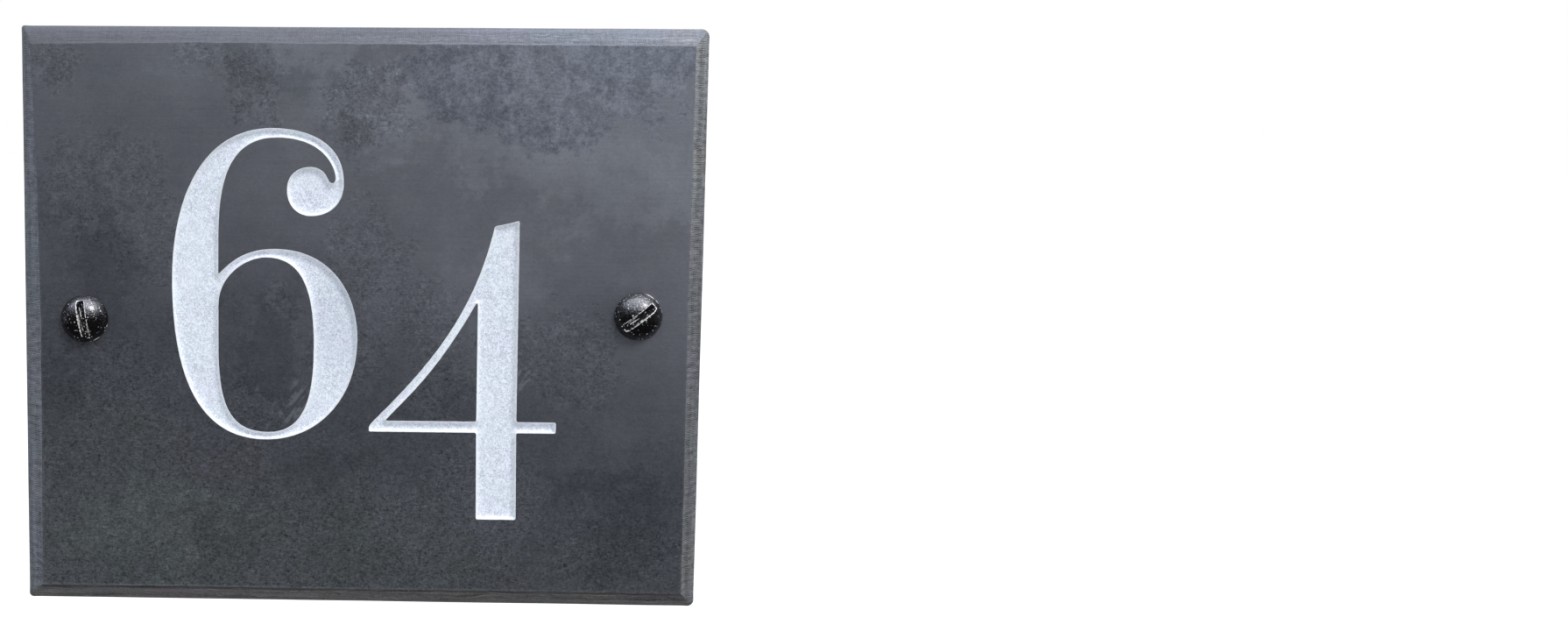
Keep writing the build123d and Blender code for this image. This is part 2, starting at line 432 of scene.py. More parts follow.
def makeHonedSlate(look):
    made, net, where, skin = newFinish("honedSlate")
    add, less, times, most, mulAdd = net.add, net.less, net.times, net.most, net.mulAdd
    wide, close = net.ragged(where, size=20.0, reach=62.0), net.ragged(where, size=9.0, reach=34.0)
    spread = net.split(wide)
    along = times(mulAdd(spread[0], look["slopeLean"], spread[2]), 1000.0)
    share = net.over(less(along, look["slopeStart"]), look["slopeLength"])
    colour = net.ramp(share, look["slope"])

    blue = net.patches(wide, look["blue"], edge=0.1)
    # the slate's lower part is rougher all over
    lower = net.span(share, 0.56, 0.36, end=0.6)
    mottled = most(net.patches(close, look["mottled"], edge=0.2), most(blue, lower))
    islands = net.mask(
        clouds, net.turned(where, 15, (0.11, 0.4, 0.3)), size=6.0, ragged=0.8, low=0.48, high=0.58)
    clumps = net.mask(
        clouds, net.turned(where, 50, (0.7, 0.2, 0.1)), size=2.6, ragged=0.85, low=0.42, high=0.58)
    shade = 1.0
    # patches darker and lighter in tone. Among the dim ones, the patch beside the right screw's head is a
    # painted shadow
    for area, amount in (
            (net.patches(wide, look["dark"], edge=0.2), -0.2),
            (net.patches(wide, look["light"], edge=0.25), 0.17),
            (net.patches(where, look["dimAndShadow"], edge=0.8), -0.17),
            (less(mottled, lower), -0.11), (lower, -0.05), (blue, -0.04),
            (less(net.noise(where, 45.0, detail=4.0, rough=0.6), 0.5), 0.45)):
        shade = mulAdd(area, amount, shade)
    shade = add(shade, times(islands, mulAdd(blue, 0.17, times(mottled, 0.12))))
    shade = add(shade, times(less(clumps, 0.62), mulAdd(mottled, 0.22, 0.03)))
    # small crooked flecks, and short level strokes among them
    stipple = net.noise(where, 1000.0 / look["stippleSize"], detail=4.0, rough=0.75, bend=1.1)
    stretched = net.vector("MULTIPLY", where, (850.0, 0.0, 2900.0))
    strokes = net.noise(stretched, 1.0, detail=3.0, rough=0.7, bend=0.7)
    stipple = mulAdd(strokes, 0.35, times(stipple, 0.65))
    contrast = mulAdd(lower, 3.9, mulAdd(islands, -1.2, 3.4))
    contrast = mulAdd(blue, -1.5, mulAdd(mottled, contrast, 1.0))
    shade = times(shade, mulAdd(less(stipple, 0.5), contrast, 1.0))
    # honing lines, level
    honing = net.noise(net.vector("MULTIPLY", where, (40.0, 0.0, 2200.0)), 1.0)
    shade = times(shade, mulAdd(less(honing, 0.5), 0.22, 1.0))
    hue = net.mask(clouds, net.turned(where, 80, (0.5, 0, 0)), size=20.0, ragged=0.7, low=0.42, high=0.58)
    colour = net.scaled(colour, shade)
    for area, factors in (
            (net.span(shade, 1.0, 0.6), (0.97, 1.0, 1.035)), (blue, (0.97, 0.995, 1.04)),
            (net.patches(wide, look["green"], edge=0.3), (0.98, 1.02, 0.96)),
            (net.patches(wide, look["brown"], edge=0.3), (1.03, 0.99, 0.99)), (hue, (1.01, 1.0, 0.985))):
        colour = net.toned(colour, area, factors)

    worn = times(net.note("worn"), mulAdd(stipple, 2.2, -0.7, clamp=True))
    colour = net.blend(worn, colour, look["wornColour"])
    # gleams where something rubbed: in the six and beside the four
    marks = net.mask(scratches, net.turned(where, 55), length=5.0, width=0.7, few=0.52)
    rubbed = times(marks, net.patches(close, look["rubbed"], edge=0.5))
    colour = net.blend(times(rubbed, 0.3), colour, look["gleam"])
    # dust all over, and thicker where the right hole was drilled
    dust = net.mask(specks, where, spacing=2.6, radius=0.07, share=0.1)
    drilled = net.mask(specks, where, spacing=0.8, radius=0.2, share=0.3)
    drilled = times(drilled, net.patches(close, look["drilled"], edge=0.5))
    colour = net.blend(most(times(dust, 0.35), times(drilled, 0.6)), colour, look["dust"])
    pits = net.mask(specks, net.turned(where, 40), spacing=2.2, radius=0.1, share=0.3)
    colour = net.blend(times(pits, times(mottled, 0.5)), colour, look["pit"])

    relief = times(stipple, mulAdd(mottled, 0.7, 0.3))
    net.feed(skin, {
        "Base Color": colour, "Roughness": net.span(mottled, 0.0, 1.0, *look["roughness"]),
        "Normal": net.bump(0.3, 0.00012, relief)})
    return made


groundLook = {
    "colour": (0.108, 0.116, 0.1345),
    "striation": 0.37,  # spacing of the grinding lines across the bevel
    "layer": 0.55,      # thickness of the slate's layers
    "thread": 0.62,     # spacing of the pale threads along the bevel
    # clouds of a slightly other colour, each turned and moved from the last
    "casts": ((20, 0.7, (1.03, 1.0, 0.95)), (70, 1.9, (0.95, 1.015, 1.01)), (45, 3.1, (1.02, 0.98, 1.045))),
    "dust": (0.5, 0.5, 0.52),
}


def makeGroundSlate(look):
    # the bevel and the sides: drawn-out layers along the edge, grinding lines across it
    made, net, where, skin = newFinish("groundSlate")
    add, less, times, mulAdd = net.add, net.less, net.times, net.mulAdd
    run, depth, hatched, riven = (net.note(name) for name in ("run", "layer", "hatched", "riven"))

    def drawn(lengthwise, deep, detail, level):
        spot = net.joined(times(run, lengthwise), times(depth, deep), level)
        return net.noise(spot, 1.0, detail=detail, rough=0.62)

    def about(value, strength):
        return times(less(value, 0.5), strength)

    # grinding lines at an even spacing, shifted a little from strip to strip
    phase = mulAdd(run, 2 * math.pi / look["striation"], times(drawn(0.35, 1.6, 2.0, 12.0), 14.0))
    lines = mulAdd(net.maths("SINE", phase), 0.22, drawn(1.2, 0.4, 3.0, 3.0))
    # pale threads that wander along the bevel
    wander = mulAdd(drawn(0.13, 0.25, 3.0, 9.0), 2.4, depth)
    layers = net.noise(
        net.joined(times(run, 0.09), net.over(wander, look["layer"])), 1.0, detail=4.0, rough=0.62)
    ridge = net.maths("ABSOLUTE", less(net.maths("FRACT", net.over(wander, look["thread"])), 0.5))
    threads = times(net.span(ridge, 0.14, 0.04), mulAdd(drawn(0.14, 1.6, 2.0, 16.0), 5.0, -2.1, clamp=True))
    # strips along a hatched bevel, pale beside the face
    strips = net.maths("SINE", mulAdd(wander, 2.7, -2.6))
    plain = less(1.0, hatched, clamp=True)
    fine = net.noise(where, 2200.0, detail=3.0, rough=0.7)

    shade = add(1.0, about(layers, mulAdd(plain, 0.8, 0.6)))
    shade = add(shade, about(lines, times(hatched, 2.6)))
    shade = add(shade, add(about(fine, 1.5), about(drawn(0.012, 0.9, 1.0, 5.0), 1.1)))
    shade = add(shade, about(drawn(0.5, 1.2, 3.0, 7.0), 0.4))
    shade = mulAdd(times(strips, hatched), 0.07, shade)
    shade = mulAdd(threads, mulAdd(plain, 1.0, 0.05), shade)
    # the paleness note holds the ground slate's tone together with painted light and painted shade
    colour = net.scaled(look["colour"], times(net.most(shade, 0.25), net.note("paleAndLit")))
    for degrees, moved, factors in look["casts"]:
        spread = net.mask(
            clouds, net.turned(where, degrees, (moved, 0, 0)), size=16.0, ragged=0.6, low=0.5, high=0.64)
        colour = net.toned(colour, spread, factors)
    colour = net.vector("MULTIPLY", colour, net.joined(net.note("red"), 1.0, net.note("blue")))
    dust = net.mask(specks, where, spacing=1.8, radius=0.11, share=0.12)
    colour = net.blend(times(dust, 0.45), colour, look["dust"])
    # the split back: cloudy, with a coarser grain
    leaf = net.mask(
        clouds, net.turned(where, 25, (0.3, 0, 0.6)), size=34.0, ragged=0.72, low=0.38, high=0.62)
    grit = net.noise(where, 380.0, detail=7.0, rough=0.72)
    mottle = add(about(leaf, 0.26), about(grit, 1.5))
    relief = mulAdd(lines, hatched, mulAdd(fine, 0.4, layers))
    relief = add(relief, times(riven, mulAdd(leaf, 0.8, times(grit, 1.8))))
    net.feed(skin, {
        "Base Color": net.scaled(colour, mulAdd(mottle, riven, 1.0)), "Roughness": mulAdd(layers, 0.2, 0.55),
        "Normal": net.bump(0.55, 0.00025, relief)})
    return made


enamelLook = {
    "white": (0.852, 0.919, 1.0),
    # hollow: the darker colour at the stipple's low places, a painted shade of the grain's relief
    "hollow": (0.515, 0.568, 0.64),
    # wall and wallHollow: the same enamel on the carved walls, painted lighter and more neutral than the floor
    # as painted light
    "wall": (0.93, 0.975, 1.0),
    "wallHollow": (0.57, 0.61, 0.65),
    "grime": (0.35, 0.37, 0.42),
    "stipple": 0.38,
    # areas of painted shade over the six's bowl, as x, z and half sizes in mm
    "paintedShade": ((-5, 0, 6, 10),),
}


def makeEnamel(look):
    made, net, where, skin = newFinish("whiteEnamel")
    times, mulAdd, floor = net.times, net.mulAdd, net.note("floor")
    stipple = net.noise(where, 1000.0 / look["stipple"], detail=1.5, rough=0.6, bend=1.3)
    coarse = net.noise(where, 1000.0 / (3.2 * look["stipple"]))
    thick = net.mask(clouds, where, size=7.0, ragged=0.5, low=0.3, high=0.7)
    both = mulAdd(coarse, 0.15, times(stipple, 0.85))
    rough = times(net.note("coated"), mulAdd(floor, 0.4, 0.6))
    spots = times(times(net.span(both, 0.57, 0.41), rough), mulAdd(thick, 0.3, 0.7))
    # walls painted lighter than the floor: painted light on the same enamel
    colour = net.blend(floor, look["wall"], look["white"])
    # the stipple's low places painted darker: painted shade of the grain
    colour = net.blend(spots, colour, net.blend(floor, look["wallHollow"], look["hollow"]))
    lilac = net.mask(clouds, net.turned(where, 30), size=9.0, ragged=0.6, low=0.4, high=0.6)
    colour = net.toned(colour, lilac, (1.015, 0.985, 1.01))
    # a painted shade over the six's bowl
    colour = net.toned(colour, net.patches(where, look["paintedShade"], edge=0.5), (0.87, 0.88, 0.895))
    grime = net.mask(specks, where, spacing=2.5, radius=0.05, share=0.1)
    net.feed(skin, {
        "Base Color": net.blend(times(grime, 0.4), colour, look["grime"]),
        "Roughness": mulAdd(thick, 0.12, 0.42), "Normal": net.bump(0.7, 0.00024, times(both, rough))})
    return made


japanLook = {
    "black": (0.003, 0.003, 0.004),
    "brown": (0.006, 0.005, 0.005),
    # bare: worn steel, near white so that it also stands in for glints
    "bareAndGlint": (0.88, 0.88, 0.87),
    "gloss": 0.13,
}


def makeJapan(look):
    made, net, where, skin = newFinish("blackJapan")
    times, mulAdd = net.times, net.mulAdd
    coat = net.mask(clouds, where, size=2.6, ragged=0.6, low=0.35, high=0.65)
    fine, lumps = net.noise(where, 2000.0, rough=0.6, bend=0.5), net.noise(where, 900.0)
    # bare where the paint is worn on the slot's edges, floor and rim, painted bright partly as glints
    bareAndGlint = net.span(mulAdd(net.less(fine, 0.5), 1.1, net.note("wearAndGlint")), 0.38, 0.62)
    # small pale dots, partly chips in the paint and partly painted sparkle of the highlight
    nicksAndSparkle = net.mask(specks, where, spacing=0.42, radius=0.42, share=0.3)
    bareAndGlint = net.most(bareAndGlint, times(nicksAndSparkle, mulAdd(coat, 0.7, 0.1)))
    net.feed(skin, {
        "IOR": 1.7, "Coat Weight": 0.6, "Coat Roughness": 0.1, "Metallic": times(bareAndGlint, 0.1),
        "Base Color": net.blend(bareAndGlint, net.blend(coat, look["black"], look["brown"]), look["bareAndGlint"]),
        "Roughness": mulAdd(bareAndGlint, 0.25, mulAdd(coat, 0.08, look["gloss"])),
        "Normal": net.bump(0.8, 0.00016, mulAdd(fine, 1.2, lumps))})
    return made


honedSlate, groundSlate = makeHonedSlate(honedLook), makeGroundSlate(groundLook)
whiteEnamel, blackJapan = makeEnamel(enamelLook), makeJapan(japanLook)
print("finishes: honed slate, ground slate, white enamel, black japan")


# The carving that the slate and the enamel share

carving = {
    "spacing": 0.22,       # along an outline
    "easing": 3,           # rounds off of an outline's corners
    "waver": 0.03,         # unevenness of an outline
    "lip": 0.09,           # flat rim of the paint before the wall falls away
    "wallReach": 1.25,     # from the lip to where the wall meets the floor
    "depth": 1.0,          # of the painted floor
    "coat": 0.16,
    "rings": (0.08, 0.15, 0.22, 0.32, 0.46, 0.64, 0.88),
    "slateRings": (0.11, 0.3, 0.65),
    "floorStep": 0.42,
    "unevenFloor": 0.035,
}

face = -10.0
holeArea, numeralArea = 40, 5000  # in mm2: a hole is smaller than the first, a numeral than the second
faceLoops = cadLoops("slate_plaque", face)
holeLoops = sorted((l for l in faceLoops if abs(loopArea(l)) < holeArea), key=lambda l: l[:, 0].mean())
numeralLoops = sorted((l for l in faceLoops if holeArea < abs(loopArea(l)) < numeralArea),
                      key=lambda l: l[:, 0].min())


def waver(loop, amount):
    drift = [wave(x * 0.9, z * 0.9, 4.0) for x, z in loop]
    return loop + leftOf(loop) * amount * np.array(drift)[:, None]


def carvedNumeral(loops):
    # outline first, then its counter, each turned so that the stroke is on its left
    loops = sorted(loops, key=lambda l: -abs(loopArea(l)))
    made = []
    for loop, turn in zip(loops, (1, -1)):
        loop = loop if loopArea(loop) * turn > 0 else loop[::-1]
        made.append(waver(evenLoop(loop, carving["spacing"], carving["easing"]), carving["waver"]))
    return made


middle = 0.5  # x between the numerals
sixLoops = carvedNumeral([l for l in numeralLoops if l[:, 0].mean() < middle])
fourLoops = carvedNumeral([l for l in numeralLoops if l[:, 0].mean() > middle])


def strokeSpots(loops, rings, step):
    # points within the stroke: rows that follow the outline, then a grid. Also how far in each lies
    spots, gaps, rooms, last = [], [], [], 0.0
    for ring in rings:
        for loop in loops:
            row = loop + leftOf(loop) * ring
            good = (gapTo(row, loops) > ring * 0.94) & withinOdd(row, loops)
            spots.append(row[good])
            gaps.append(np.full(good.sum(), ring))
            rooms.append(np.full(good.sum(), min(0.6 * (ring - last), 0.12)))
        last = ring
    low, high = loops[0].min(0), loops[0].max(0)
    grid = spotGrid(low, high, step)
    grid = grid[withinOdd(grid, loops)]
    inside = gapTo(grid, loops)
    keep = inside > rings[-1] + 0.3 * step
    spots.append(grid[keep])
    gaps.append(inside[keep])
    rooms.append(np.full(keep.sum(), 0.4 * step))
    spots, gaps, rooms = np.vstack(spots), np.concatenate(gaps), np.concatenate(rooms)
    kept = thinned(spots, rooms)
    return spots[kept], gaps[kept]


def paintDepth(gaps):
    # a rounded wall that leaves the lip steeply and meets the floor level
    share = np.clip((gaps - carving["lip"]) / carving["wallReach"], 0, 1)
    return 0.02 + carving["depth"] * np.sqrt(1 - (1 - share) ** 2)


def makeNumeral(name, nodeName, loops):
    shell = Shell()
    inner, innerGaps = strokeSpots(loops, carving["rings"], carving["floorStep"])
    points, triangles = fill(loops, inner)
    gaps = np.concatenate([np.zeros(sum(len(l) for l in loops)), innerGaps])
    depth = paintDepth(gaps)
    uneven = np.array([wave(x * 1.1, z * 1.1, 0.0) + 0.8 * wave(x * 2.9, z * 2.9, 9.0) for x, z in points])
    depth += uneven * carving["unevenFloor"] * smooth(gaps, 0.1, 0.9)
    top = shell.add(raised(points, face + depth))
    under = shell.add(raised(points, face + depth + carving["coat"]))
    shell.cover(top[triangles], 0)
    shell.cover(under[triangles][:, ::-1], 0)
    first = 0
    for loop in loops:
        ring = np.arange(first, first + len(loop))
        shell.band(top[ring], under[ring], 0)
        first += len(loop)
    shell.note("floor", top, smooth(gaps, 0.15, 0.9))
    shell.note("coated", top, smooth(gaps, 0.0, 0.12))
    shell.piece(name, nodeName, [whiteEnamel], 60)


makeNumeral("sixEnamel", "six_paint", sixLoops)
makeNumeral("fourEnamel", "four_paint", fourLoops)


# The slate

slab = {
    "station": 0.5,                  # spacing of the rows that run across the edge
    "rimWidth": 1.1, "rimTop": -7.5, "bevelFoot": -5.8,
    "bevelRows": 17, "rimRows": 7, "sideRows": 9,
    "layerDepth": 0.06,              # relief of the slate's layers on the bevel
    "hollow": 0.07,                  # slow unevenness of the hand grinding
    "chip": 0.16,                    # small chips along the arris
    "backEdge": 0.25,
    "backRelief": 0.3, "leafDepth": 0.11,
    "faceStep": 2.4, "backStep": 1.5,  # spacing of the points
    "holeRadius": 3.0, "holeSteps": 64,
    # down a hole: y, and how far it is broken out
    "holeRows": ((-9.7, 0.0), (-6.0, 0.0), (-2.6, 0.0), (-0.9, 0.12), (-0.4, 0.45), (0.0, 0.9)),
    # the sides in order. At even steps along each: the arris's distance from the side, how pale the
    # bevel is, how much its grinding lines show and how worn the arris is. The paleness is partly the
    # ground slate's own tone and partly painted light, brighter towards the top right where the light
    # falls. rimPale scales it for the outer strip, cast is how red and how blue the side is, under is a
    # painted line of shade just off the arris
    "sides": {
        "bottom": {"arris": (4.0, 4.05, 3.95, 4.0, 3.9), "corner": 1.0, "under": 0.32,
                   "paleAndLit": (0.92, 0.94, 0.86),
                   "hatched": (0.15, 0.15), "worn": (0.9, 0.8, 0.5), "rimPale": 1.18, "cast": (1.13, 0.875)},
        "right": {"arris": (3.6, 3.6, 3.8, 3.7, 3.5), "corner": 1.5, "paleAndLit": (1.03, 0.92, 1.79), "under": 0.0,
                  "hatched": (0.95, 0.95, 0.85), "worn": (0.3, 0.15), "rimPale": 1.0, "cast": (1.025, 0.915)},
        "top": {"arris": (3.9, 3.85, 3.8, 3.7, 4.15), "corner": 1.9, "paleAndLit": (1.76, 0.77, 0.455), "under": 0.1,
                "hatched": (0.25, 0.35, 0.25), "worn": (0.0, 0.0), "rimPale": 0.93, "cast": (1.02, 1.025)},
        "left": {"arris": (3.0, 3.9, 4.35, 4.2, 4.0), "corner": 0.7, "paleAndLit": (1.2, 1.2, 1.1), "under": 0.0,
                 "hatched": (0.6, 0.8), "worn": (0.1, 0.25, 0.5), "rimPale": 0.85, "cast": (1.005, 1.0)},
    },
}


def sideRun(length, startRadius, endRadius):
    # where the rows stand along a side, closer together where the corners turn
    near = np.array([0, 0.12, 0.26, 0.42, 0.6, 0.82, 1.1, 1.45, 1.9, 2.4])
    first, last = startRadius * (1 - math.sqrt(0.5)), length - endRadius * (1 - math.sqrt(0.5))
    count = int((last - first - 2 * near[-1]) / slab["station"])
    middleRun = np.linspace(first + near[-1], last - near[-1], count)[1:-1]
    return np.concatenate([first + near, middleRun, (last - near)[::-1]])


def edgeSection(arris, rim):
    # rows from the face to the back: inset, y, and how far relief pushes each inwards and back
    slope = (slab["rimTop"] - face) / (arris - rim)
    section = [
        (arris + 0.5, face, 0, 0), (arris + 0.13, face, 0, 0), (arris + 0.05, face + 0.006, 0, 0),
        (arris - 0.03, face + 0.03 * slope + 0.02, 0, 0),
        (arris - 0.12, face + 0.12 * slope + 0.008, 0, 0)]
    top, foot = slab["rimTop"], slab["bevelFoot"]
    for name, spotAt in (
            ("bevelRows", lambda t: (arris - 0.12 + (rim - arris + 0.12) * t,
                                     face + 0.12 * slope + (top - face - 0.12 * slope) * t, 0.65, 0.76)),
            ("rimRows", lambda t: (rim * (1 - t), top + (foot - top) * t, 0.84, 0.54)),
            ("sideRows", lambda t: (0.0, foot * (1 - t) - slab["backEdge"] * t, 1.0, 0.0))):
        section += [spotAt((step + 1) / slab[name]) for step in range(slab[name])]
    return section + [(0.1, -0.07, 0, 0), (slab["backEdge"], 0.0, 0, 0)]


def makeSlab():
    shell = Shell()
    low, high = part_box("slate_plaque")
    west, east, foot, head = low.x / mm, high.x / mm, low.z / mm, high.z / mm
    corners = [(west, foot), (east, foot), (east, head), (west, head)]
    names = list(slab["sides"])
    rowCount = 5 + slab["bevelRows"] + slab["rimRows"] + slab["sideRows"] + 2
    rows = [[] for _ in range(rowCount)]
    notes = {name: [[] for _ in range(rowCount)]
             for name in ("run", "layer", "paleAndLit", "hatched", "red", "blue", "worn")}
    for side, name in enumerate(names):
        here, behind, next_ = (slab["sides"][names[i]] for i in (side, side - 1, (side + 1) % 4))
        startRadius, endRadius = here["corner"], next_["corner"]
        before, after = behind["arris"][-1], next_["arris"][0]
        a, b = np.array(corners[side]), np.array(corners[(side + 1) % 4])
        length = np.linalg.norm(b - a)
        way = (b - a) / length
        inward = np.array([-way[1], way[0]])
        stations = sideRun(length, startRadius, endRadius)
        for s in stations[:-1]:
            u = (s - stations[0]) / (stations[-1] - stations[0])
            calm = float(smooth(min(s - stations[0], stations[-1] - s), 0.0, 2.5))
            arris, paleAndLit, hatched, worn = (
                np.interp(u, np.linspace(0, 1, len(here[k])), here[k])
                for k in ("arris", "paleAndLit", "hatched", "worn"))
            arris += calm * 0.09 * wave(s * 0.22, side * 5.0, 1.0)
            arris += calm * 0.05 * wave(s * 1.1, side * 5.0, 2.0)
            turnStart, turnEnd = max(0, startRadius - s), max(0, endRadius - (length - s))
            lift = startRadius - math.sqrt(startRadius ** 2 - turnStart ** 2)
            lift += endRadius - math.sqrt(endRadius ** 2 - turnEnd ** 2)
            outer = a + way * s + inward * lift
            inner = a + way * (before + (length - before - after) * u) + inward * arris
            rim = slab["rimWidth"] + calm * 0.12 * wave(s * 0.3, side * 5.0, 3.0)
            for row, (inset, y, across, down) in enumerate(edgeSection(arris, rim)):
                if across:
                    relief = 0.5 + 0.5 * noise.fractal(Vector((s * 0.05, y * 1.9, side * 7.3)), 1.0, 2.0, 3)
                    slow = 0.5 + 0.5 * wave(s * 0.07, y * 0.25, side * 3.1)
                    push = calm * (slab["layerDepth"] * relief + slab["hollow"] * slow)
                    nearArris = max(0.0, 1 - (y - face) / 0.8)
                    chip = wave(s * 0.8, y * 1.2, side * 4.0 + 0.5) - 0.34
                    push += calm * slab["chip"] * nearArris * max(0.0, chip) * 3
                    inset, y = inset + across * push, y + down * push
                share = inset / arris
                spot = outer * (1 - share) + inner * share
                rows[row].append((spot[0], y, spot[1]))
                atRim = float(smooth(y, slab["rimTop"] - 0.9, slab["rimTop"] + 0.3))
                # a painted line of shade just off the arris
                shaded = here["under"] * float(smooth(0.62 - abs(y - face - 0.42), 0.2, 0.45))
                shaded *= 0.6 + 0.8 * slow if across else 1
                # the paleness note: the slate's tone and painted light, less the painted shade off the arris
                for note, value in zip(notes.values(), (
                        (spot - a) @ way + side * 200.0, y - face + 0.35 * wave(s * 0.12, side * 2.0, 8.0),
                        paleAndLit * (1 + (here["rimPale"] - 1) * atRim) * (1 - shaded), hatched, *here["cast"],
                        worn if 0 < row < 5 else 0.0)):
                    note[row].append(value)
    ids = [shell.add(row) for row in rows]
    for row, ring in enumerate(ids):
        for name, values in notes.items():
            shell.note(name, ring, values[row])
        if row:
            shell.band(ids[row - 1], ring, 0 if row < 4 else 1)

    # the face, open where the numerals and the screws go in
    circles = []
    for loop in holeLoops:
        centre = (loop.min(0) + loop.max(0)) / 2
        angles = np.linspace(0, 2 * math.pi, slab["holeSteps"], endpoint=False)
        circles.append(centre + slab["holeRadius"] * np.column_stack([np.cos(angles), np.sin(angles)]))
    arrisLoop = np.array([(x, z) for x, _, z in rows[0]])
    loops = [arrisLoop, *sixLoops, *fourLoops, *circles]
    grid = spotGrid(arrisLoop.min(0), arrisLoop.max(0), slab["faceStep"])
    grid = grid[withinOdd(grid, loops)]
    grid = grid[gapTo(grid, loops) > 0.9]
    points, triangles = fill(loops, grid)
    rest = points[len(arrisLoop):]
    faceIds = np.concatenate([ids[0], shell.add(raised(rest, face))])
    shell.cover(faceIds[triangles], 0)

    # the carved floors under the enamel
    first = len(arrisLoop)
    for numeral in (sixLoops, fourLoops):
        count = sum(len(l) for l in numeral)
        inner, gaps = strokeSpots(numeral, carving["slateRings"], 1.0)
        points, triangles = fill(numeral, inner)
        depth = paintDepth(gaps) + carving["coat"] + 0.06
        innerIds = shell.add(raised(inner, face + depth))
        shell.cover(np.concatenate([faceIds[first:first + count], innerIds])[triangles], 1)
        first += count

    # drilled holes, broken out a little at the back
    backCircles = []
    for circle in circles:
        centre = circle.mean(0)
        ring = faceIds[first:first + len(circle)]
        first += len(circle)
        for y, spread in slab["holeRows"]:
            broken = [1 + spread * max(0.1, 0.45 + noise.noise(Vector((x, z, 3.0)) * 0.8)) / 3
                      for x, z in circle]
            around = centre + (circle - centre) * np.array(broken)[:, None]
            below = shell.add(raised(around, y))
            shell.band(below, ring, 1)
            ring = below
        backCircles.append((around, ring))

    # the split back, level at its high places
    edge = np.array([(x, z) for x, _, z in rows[-1]])
    loops = [edge, *[around for around, _ in backCircles]]
    grid = spotGrid(edge.min(0), edge.max(0), slab["backStep"])
    grid = grid[withinOdd(grid, loops)]
    gaps = gapTo(grid, loops)
    grid, gaps = grid[gaps > 0.7], gaps[gaps > 0.7]
    points, triangles = fill(loops, grid)
    heights = []
    for (x, z), gap in zip(grid, gaps):
        wide = noise.fractal(Vector((x * 0.03, z * 0.045, 11.0)), 0.9, 2.0, 5) * 3.0
        step = math.floor(wide) + float(smooth(wide - math.floor(wide), 0.35, 0.65))
        heights.append(-min(slab["backRelief"], slab["leafDepth"] * abs(step)) * float(smooth(gap, 0.5, 4.0)))
    backIds = np.concatenate([ids[-1], *[ring for _, ring in backCircles], shell.add(raised(grid, heights))])
    shell.cover(backIds[triangles][:, ::-1], 1)
    unnoted = [i for i in range(len(shell.spots)) if i not in shell.notes["paleAndLit"]]
    for name, plain in (("paleAndLit", 1.0), ("layer", 3.0), ("red", 1.0), ("blue", 1.0), ("riven", 1.0)):
        shell.note(name, unnoted, [plain] * len(unnoted))
    shell.piece("slateSlab", "slate_plaque", [honedSlate, groundSlate], 28)


makeSlab()


# The screws

screws = {
    "headRadius": 5.2, "headHeight": 3.72, "headRim": 0.4,
    "slotHalf": 0.85, "slotFloor": 1.9, "slotEase": 0.1,
    "shankRadius": 2.45, "coreRadius": 1.68, "crestRadius": 2.42,
    "smooth": 14.0, "tip": 37.9, "point": 5.5, "pitch": 2.3, "threadStep": 0.11,
    "paintWave": 0.035,
    # rubbed: where round the rim the paint is worn, a pale arc that is partly a painted glint
    "left": {"node": "screw_left", "angle": 100.0, "seed": 1.0, "rubbed": -45.0},
    "right": {"node": "screw_right", "angle": 38.0, "seed": 6.0, "rubbed": 48.0},
}


